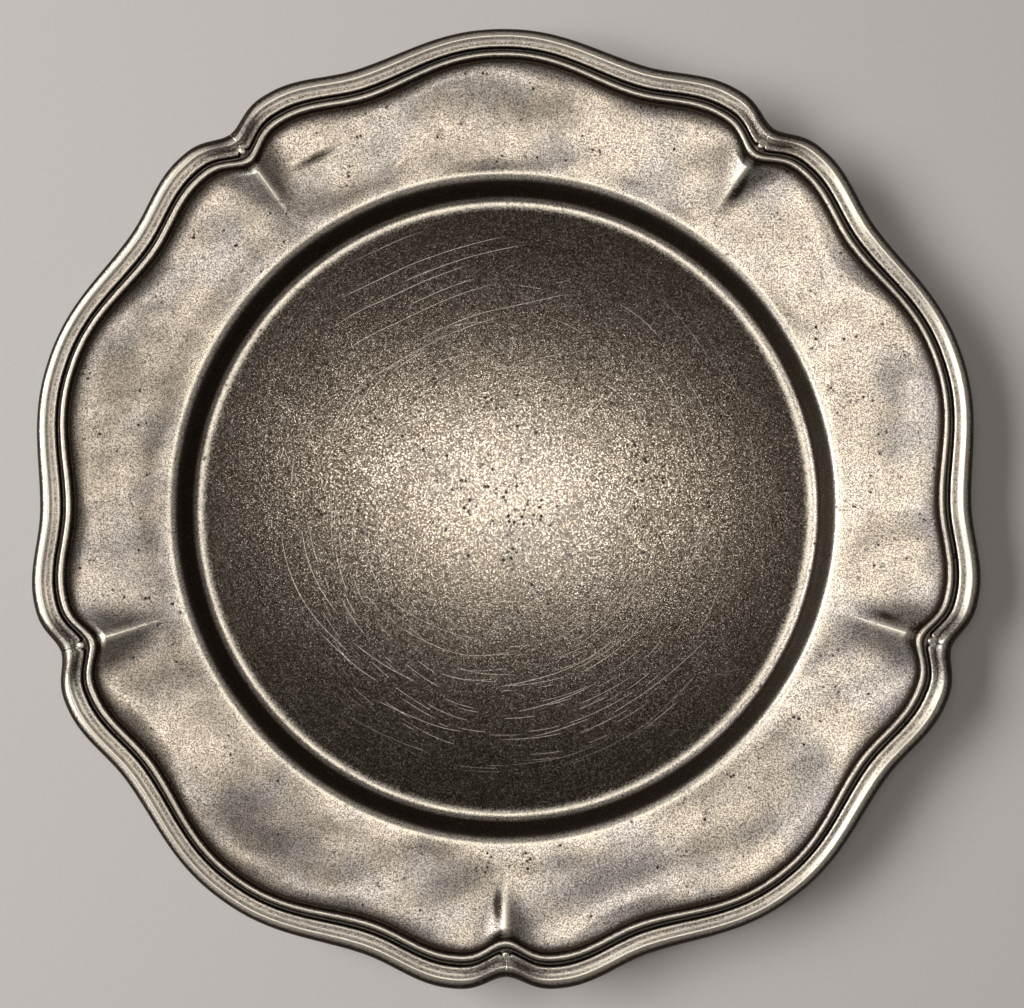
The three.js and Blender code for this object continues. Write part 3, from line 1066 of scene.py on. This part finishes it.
def feed_skin(nodes, shader, inputs, height, distance):
    """Feeds the shader with a worn skin that reads the piece's marks, and with bumps of a height."""
    inputs |= {"Grime": mark(nodes, "grime"), "Rubbed": mark(nodes, "rubbed")}
    skin = nodes.group(pewter_skin(), inputs)
    nodes.feed(shader.inputs["Base Color"], skin["Colour"])
    nodes.feed(shader.inputs["Roughness"], skin["Roughness"])
    bump = nodes.add("ShaderNodeBump", {"Height": height, "Distance": distance})
    nodes.feed(shader.inputs["Normal"], bump.outputs[0])


# The well's scratches: centre, spacing, thickness, length and share of each set, then the middle
# and the reach of the place where they are. Most are arcs about a centre near the plate's own, and
# a few are nearly straight. They fade at the edge of their place and towards the plate's middle.
SCRATCH_SETS = (
    ((-0.004, 0.003, 0), 0.0022, 0.00017, 0.028, 0.25, (0.0, 0.0, 0.0), 0.074),
    ((0.002, -0.004, 0), 0.0011, 0.00014, 0.010, 0.28, (0.0, -0.018, 0.0), 0.056),
    ((0.036, -0.080, 0), 0.0030, 0.00017, 0.036, 0.42, (-0.012, 0.047, 0.0), 0.034),
    ((-0.060, 0.090, 0), 0.0040, 0.00016, 0.030, 0.26, (0.040, -0.030, 0.0), 0.030),
)

SCRATCH_FADE = 0.75
SCRATCH_START = (0.018, 0.045)
SCRATCH_DEPTH = 0.4

# Where the floor of the well is pitted most, over what distance the pits thin out, and how many
# more there are in the middle and fewer outside it.
PITTED_PLACE = (-0.002, 0.003, 0.0)
PITTED_REACH = (0.002, 0.018)
PITTING = (0.1, -0.04)
PIT_ROUGHNESS = 0.35

# The body's patches of patina: their size, and how many there are with and without the mark of
# tarnish and painted shade. Dark grains lie thicker in them than bright ones.
BODY_PATCH = 0.011
TARNISHED_COVER = 0.5
LEAST_COVER = 0.2
DARK_COVER = 0.85
BRIGHT_COVER = -0.45

# Tarnish and painted shade of the flange, and of the well's floor, as two distances from the axis and
# its values there; on the floor the rise outwards from the middle is painted shade.
FLANGE_TARNISH_AND_SHADE = 0.35
FLOOR_TARNISH_AND_SHADE = (0.0, 0.064, 0.7, 0.98)

# The depth of the grain on the flange, what the floor adds to it at two distances from the axis,
# and the brightness of the glints on the flange and what the floor adds.
FLANGE_GRAIN_DEPTH = 0.8
FLOOR_GRAIN_DEPTH = (0.0, 0.045, -0.15, 0.2)
FLANGE_GLINTS = 0.6
FLOOR_GLINTS = 0.3

# The turned floor: the pitch of its lines, the share of its streaks and of its lines' height, how
# much smoother its grit is, and how much glossier it is than the flange.
LINE_PITCH = 0.0003
STREAK_SHARE = 0.05
LINE_SHARE = 0.04
FLOOR_CALM = 0.35
FLANGE_ROUGHNESS = 0.3
FLOOR_GLOSS = 0.08
BODY_BUMP = 0.00003

# The reeds and the solder: their pitting, the size of their patches, their share of glints, their
# cover, tarnish and roughness, and the height of their bumps.
REED_PITTING = 0.02
REED_PATCH = 0.0038
REED_GLINTS = 0.6
REED_COVER = 0.9
REED_TARNISH = 0.08
REED_ROUGHNESS = 0.31
REED_BUMP = 0.000025


def cast_pewter(finish):
    """The body's metal: gritty and patinated on the flange, turned and scratched in the well."""
    material, nodes, shader, where = new_material("cast_pewter_skin")
    turned = mark(nodes, "turned")
    tarnished = mark(nodes, "tarnish")
    from_axis = nodes.vector("LENGTH", where)
    from_pitted = nodes.vector("LENGTH", nodes.vector("SUBTRACT", where, PITTED_PLACE))
    pitting = nodes.step(from_pitted, *PITTED_REACH, *PITTING)
    grit = nodes.group(cast_grit(), {"Vector": where, "Grain": finish.grain, "Pitting": pitting})
    # On the floor the darkening outwards from the middle is painted shade.
    flange_dulled_and_shaded = nodes.math("MULTIPLY", tarnished, FLANGE_TARNISH_AND_SHADE)
    dulled_and_shaded = nodes.mix_values(turned, flange_dulled_and_shaded, nodes.step(from_axis, *FLOOR_TARNISH_AND_SHADE))
    lines = nodes.group(turned_lines(), {"Vector": where, "Pitch": LINE_PITCH})
    scratches = 0.0
    for centre, spacing, thickness, length, share, middle, reach in SCRATCH_SETS:
        inputs = {"Vector": where, "Centre": centre, "Spacing": spacing}
        inputs |= {"Thickness": thickness, "Length": length, "Share": share}
        found = nodes.group(arc_scratches(), inputs)["Scratches"]
        from_middle = nodes.vector("LENGTH", nodes.vector("SUBTRACT", where, middle))
        there = nodes.step(from_middle, SCRATCH_FADE * reach, reach, 1.0, 0.0)
        scratches = nodes.math("MAXIMUM", scratches, nodes.math("MULTIPLY", found, there))
    away = nodes.step(from_axis, *SCRATCH_START)
    scratches = nodes.math("MULTIPLY", scratches, nodes.math("MULTIPLY", turned, away))
    streak_share = nodes.math("MULTIPLY", turned, STREAK_SHARE)
    streaks = nodes.math("MULTIPLY", lines["Streaks"], streak_share)
    amount = nodes.math("MULTIPLY_ADD", tarnished, TARNISHED_COVER, LEAST_COVER)
    inputs = {"Vector": where, "Patch": BODY_PATCH, "Amount": amount}
    clouds = nodes.group(patina_cover(), inputs)["Cover"]
    thickness = nodes.math("MULTIPLY_ADD", grit["Grains"], BRIGHT_COVER, DARK_COVER)
    cover = nodes.math("MULTIPLY", clouds, thickness)
    floor_depth = nodes.step(from_axis, *FLOOR_GRAIN_DEPTH)
    depth = nodes.math("MULTIPLY_ADD", turned, floor_depth, FLANGE_GRAIN_DEPTH)
    brightness = nodes.math("MULTIPLY_ADD", turned, FLOOR_GLINTS, FLANGE_GLINTS)
    base = nodes.math("MULTIPLY_ADD", turned, -FLOOR_GLOSS, FLANGE_ROUGHNESS)
    inputs = skin_colours(finish) | {
        "Vector": where,
        "Grains": grit["Grains"],
        "Grain Depth": depth,
        "Glints": nodes.math("MULTIPLY", grit["Glints"], brightness),
        "Cover": nodes.math("MAXIMUM", cover, grit["Pits"]),
        "Scratches": nodes.math("MAXIMUM", scratches, streaks),
        "Tarnish": dulled_and_shaded,
        "Base Roughness": nodes.math("MULTIPLY_ADD", grit["Pits"], PIT_ROUGHNESS, base),
    }
    line_share = nodes.math("MULTIPLY", turned, LINE_SHARE)
    height = nodes.math("MULTIPLY_ADD", lines["Height"], line_share, grit["Height"])
    calmed = nodes.math("MULTIPLY_ADD", turned, -FLOOR_CALM, 1.0)
    height = nodes.math("MULTIPLY", height, calmed)
    height = nodes.math("MULTIPLY_ADD", scratches, -SCRATCH_DEPTH, height)
    feed_skin(nodes, shader, inputs, height, BODY_BUMP)
    return material


def rubbed_pewter(finish, name, amount, depth):
    """The reeds' and the solder's metal: bright on its crests, dark in its hollows, lightly gritty,
    with an amount of patina and a depth of dark grain."""
    material, nodes, shader, where = new_material(name)
    inputs = {"Vector": where, "Grain": finish.grain, "Pitting": REED_PITTING}
    grit = nodes.group(cast_grit(), inputs)
    inputs = {"Vector": where, "Patch": REED_PATCH, "Amount": amount}
    clouds = nodes.group(patina_cover(), inputs)["Cover"]
    inputs = skin_colours(finish) | {
        "Vector": where,
        "Grains": grit["Grains"],
        "Grain Depth": depth,
        "Glints": nodes.math("MULTIPLY", grit["Glints"], REED_GLINTS),
        "Cover": nodes.math("MULTIPLY", clouds, REED_COVER),
        "Scratches": 0.0,
        "Tarnish": REED_TARNISH,
        "Base Roughness": REED_ROUGHNESS,
    }
    feed_skin(nodes, shader, inputs, grit["Height"], REED_BUMP)
    return material


def found_material(name, make, *values):
    """The material of that name, made if it isn't there."""
    return bpy.data.materials.get(name) or make(*values)


def reed_material(finish):
    """The metal of the reeds, with patches of patina and deep dark grain."""
    name = "rubbed_pewter_skin"
    return found_material(name, rubbed_pewter, finish, name, 0.25, 0.85)


def solder_material(finish):
    """The metal of the solder, with little patina and faint grain."""
    name = "solder_skin"
    return found_material(name, rubbed_pewter, finish, name, 0.15, 0.2)


# Operators


class PATEN_OT_well_and_flange(bpy.types.Operator):
    """Build the cast body with its turned well and sloping flange"""

    bl_idname = "paten.well_and_flange"
    bl_label = "Well and Flange"

    def execute(self, context):
        scene = context.scene
        material = found_material("cast_pewter_skin", cast_pewter, scene.paten_finish)
        surface = body_surface(scene.paten_shape)
        make_piece("well_and_flange", *surface, "cast_pewter", "plate_body", material)
        return {"FINISHED"}


class PATEN_OT_wide_reeds(bpy.types.Operator):
    """Build the five lengths of wide reed that wrap over the edge"""

    bl_idname = "paten.wide_reeds"
    bl_label = "Wide Reeds"

    def execute(self, context):
        scene = context.scene
        material = reed_material(scene.paten_finish)
        for lobe in range(LOBES):
            surface = wide_reed_surface(lobe, scene.paten_shape)
            name, node = f"wide_reed_{lobe + 1}", f"rim_moulding_{lobe + 1}"
            make_piece(name, *surface, "rubbed_pewter", node, material)
        return {"FINISHED"}


class PATEN_OT_narrow_reed(bpy.types.Operator):
    """Build the narrow reed that runs all the way round"""

    bl_idname = "paten.narrow_reed"
    bl_label = "Narrow Reed"

    def execute(self, context):
        scene = context.scene
        material = reed_material(scene.paten_finish)
        surface = narrow_reed_surface(scene.paten_shape)
        make_piece("narrow_reed", *surface, "rubbed_pewter", "inner_reed", material)
        return {"FINISHED"}


class PATEN_OT_solder_fillets(bpy.types.Operator):
    """Build the fillet of solder in each mitre"""

    bl_idname = "paten.solder_fillets"
    bl_label = "Solder Fillets"

    def execute(self, context):
        scene = context.scene
        material = solder_material(scene.paten_finish)
        for lobe in range(LOBES):
            name, node = f"solder_fillet_{lobe + 1}", f"mitre_solder_{lobe + 1}"
            make_piece(name, *fillet_surface(lobe), "solder", node, material)
        return {"FINISHED"}


FLOOR_SIZE = 3.0
PAPER_TOOTH = 900.0
PAPER_LEVELS = (0.3, 0.7)
PAPER_SHADE = (0.4, 0.38, 0.36)
PAPER_TOOTH_DEPTH = 0.04
PAPER_ROUGHNESS = 0.9
PAPER_GLOSS = 0.1

# The room that the metal reflects: its strength overhead and for soft light, what it gains towards
# the horizon, the heights between which it gains that, and the strength of the pale backdrop.
ROOM_COLOUR = (1.0, 0.95, 0.9)
ROOM_STRENGTH = 0.05
HORIZON_STRENGTH = 0.3
HORIZON_HEIGHTS = (0.5, 0.85)
BACKDROP_COLOUR = (1.0, 0.97, 0.94)
BACKDROP_STRENGTH = 0.5

# Each lamp: its name, place, size, colour and roll. Both look at the middle of the foot.
KEY_LAMP = ("key_lamp", (-0.006, 0.037, 0.62), (0.28, 0.05), (1.0, 0.94, 0.86), math.radians(-8))
SIDE_LAMP = ("side_lamp", (-1.33, 0.2, 1.12), (0.8, 1.3), (1.0, 0.98, 0.96), 0.0)

# The camera: what it looks at, its lean from straight above, its roll, its sensor and its near end.
AIM = Vector((2.2 * MM, 0.3 * MM, 15 * MM))
CAMERA_LEAN = (math.radians(1.0), math.radians(-2.0))
CAMERA_ROLL = math.radians(-0.35)
SENSOR_WIDTH = 36
NEAR_END = 0.01


def looking(place_at, target, roll=0.0):
    """A matrix that puts a lamp or a camera at a place, looking at a target, with +Y up."""
    back = (place_at - target).normalized()
    up = Vector((-math.sin(roll), math.cos(roll), 0))
    side = up.cross(back).normalized()
    turn = Matrix((side, back.cross(side), back)).transposed().to_4x4()
    return Matrix.Translation(place_at) @ turn


def soft_lamp(power, name, place_at, size, colour, roll):
    """A rectangular area lamp that looks at the middle of the foot."""
    lamp = bpy.data.lights.new(name, "AREA")
    lamp.shape = "RECTANGLE"
    lamp.size, lamp.size_y = size
    lamp.energy = power
    lamp.color = colour
    holder = bpy.data.objects.new(name, lamp)
    holder.matrix_world = looking(Vector(place_at), Vector(), roll)
    bpy.context.scene.collection.objects.link(holder)


def studio_floor(finish):
    """A large square of pale paper under the plate."""
    corner = np.array([-FLOOR_SIZE / 2, FLOOR_SIZE / 2])
    x, y = np.meshgrid(corner, corner)
    mesh = bpy.data.meshes.new("studio_floor")
    mesh.from_pydata(np.stack([x, y, 0 * x], axis=-1).reshape(-1, 3), [], [[0, 1, 3, 2]])
    material, nodes, shader, where = new_material("floor_paper")
    tooth = nodes.step(nodes.noise(where, PAPER_TOOTH), *PAPER_LEVELS, 0.0, PAPER_TOOTH_DEPTH)
    shade = nodes.mix(tooth, opaque(finish.paper), opaque(PAPER_SHADE))
    nodes.feed(shader.inputs["Base Color"], shade)
    shader.inputs["Metallic"].default_value = 0.0
    shader.inputs["Roughness"].default_value = PAPER_ROUGHNESS
    shader.inputs["Specular IOR Level"].default_value = PAPER_GLOSS
    mesh.materials.append(material)
    floor = bpy.data.objects.new("studio_floor", mesh)
    bpy.context.scene.collection.objects.link(floor)


def studio_world():
    """A dim room that the metal reflects as lighter towards the horizon, and that looks pale behind
    the floor's edge."""
    world = bpy.data.worlds.new("studio_room")
    world.use_nodes = True
    world.node_tree.nodes.clear()
    nodes = Nodes(world.node_tree)
    heading = nodes.add("ShaderNodeTexCoord").outputs["Generated"]
    height = nodes.add("ShaderNodeSeparateXYZ", {"Vector": heading}).outputs["Z"]
    rays = nodes.add("ShaderNodeLightPath").outputs
    horizon = nodes.step(height, *HORIZON_HEIGHTS, HORIZON_STRENGTH, 0.0)
    gain = nodes.math("MULTIPLY", horizon, rays["Is Glossy Ray"])
    room = {"Color": opaque(ROOM_COLOUR), "Strength": nodes.math("ADD", gain, ROOM_STRENGTH)}
    backdrop = {"Color": opaque(BACKDROP_COLOUR), "Strength": BACKDROP_STRENGTH}
    dim, pale = (nodes.add("ShaderNodeBackground", inputs).outputs[0] for inputs in (room, backdrop))
    mixed = nodes.add("ShaderNodeMixShader", {0: rays["Is Camera Ray"], 1: dim, 2: pale})
    nodes.add("ShaderNodeOutputWorld", {"Surface": mixed.outputs[0]})
    bpy.context.scene.world = world


class PATEN_OT_studio(bpy.types.Operator):
    """Set up the floor, the lamps, the room and the camera"""

    bl_idname = "paten.studio"
    bl_label = "Studio"

    def execute(self, context):
        scene = context.scene
        studio = scene.paten_studio
        studio_floor(scene.paten_finish)
        studio_world()
        soft_lamp(studio.key_power, *KEY_LAMP)
        soft_lamp(studio.fill_power, *SIDE_LAMP)
        lean = Vector((math.sin(CAMERA_LEAN[0]), math.sin(CAMERA_LEAN[1]), 0))
        lean.z = math.sqrt(1 - lean.length_squared)
        lens = bpy.data.cameras.new("camera")
        lens.lens = studio.lens
        lens.sensor_width = SENSOR_WIDTH
        lens.clip_start = NEAR_END
        camera = bpy.data.objects.new("camera", lens)
        camera.matrix_world = looking(AIM + studio.camera_distance * lean, AIM, CAMERA_ROLL)
        scene.collection.objects.link(camera)
        scene.camera = camera
        scene.view_settings.view_transform = "Standard"
        return {"FINISHED"}


class PATEN_PT_panel(bpy.types.Panel):
    """Lists what builds the plate"""

    bl_idname = "PATEN_PT_panel"
    bl_label = "Paten Plate"
    bl_space_type = "VIEW_3D"
    bl_region_type = "UI"
    bl_category = "Paten"

    def draw(self, context):
        for settings in ("paten_shape", "paten_finish", "paten_studio"):
            column = self.layout.column()
            group = getattr(context.scene, settings)
            for name in group.__annotations__:
                column.prop(group, name)
        for operator in OPERATORS:
            self.layout.operator(operator.bl_idname)


SETTINGS = {"paten_shape": PatenShape, "paten_finish": PatenFinish, "paten_studio": PatenStudio}
OPERATORS = (
    PATEN_OT_well_and_flange,
    PATEN_OT_wide_reeds,
    PATEN_OT_narrow_reed,
    PATEN_OT_solder_fillets,
    PATEN_OT_studio,
)


def register():
    """Registers the settings, the operators and the panel."""
    for name, settings in SETTINGS.items():
        bpy.utils.register_class(settings)
        setattr(bpy.types.Scene, name, bpy.props.PointerProperty(type=settings))
    for operator in OPERATORS:
        bpy.utils.register_class(operator)
    bpy.utils.register_class(PATEN_PT_panel)


def unregister():
    """Takes away what register adds, in the opposite order."""
    bpy.utils.unregister_class(PATEN_PT_panel)
    for operator in reversed(OPERATORS):
        bpy.utils.unregister_class(operator)
    for name, settings in reversed(SETTINGS.items()):
        delattr(bpy.types.Scene, name)
        bpy.utils.unregister_class(settings)


def main():
    """Builds the whole scene and writes the CAD's and the visual model's boxes."""
    register()
    bpy.ops.paten.well_and_flange()
    bpy.ops.paten.wide_reeds()
    bpy.ops.paten.narrow_reed()
    bpy.ops.paten.solder_fillets()
    bpy.ops.paten.studio()


if __name__ == "__main__":
    main()
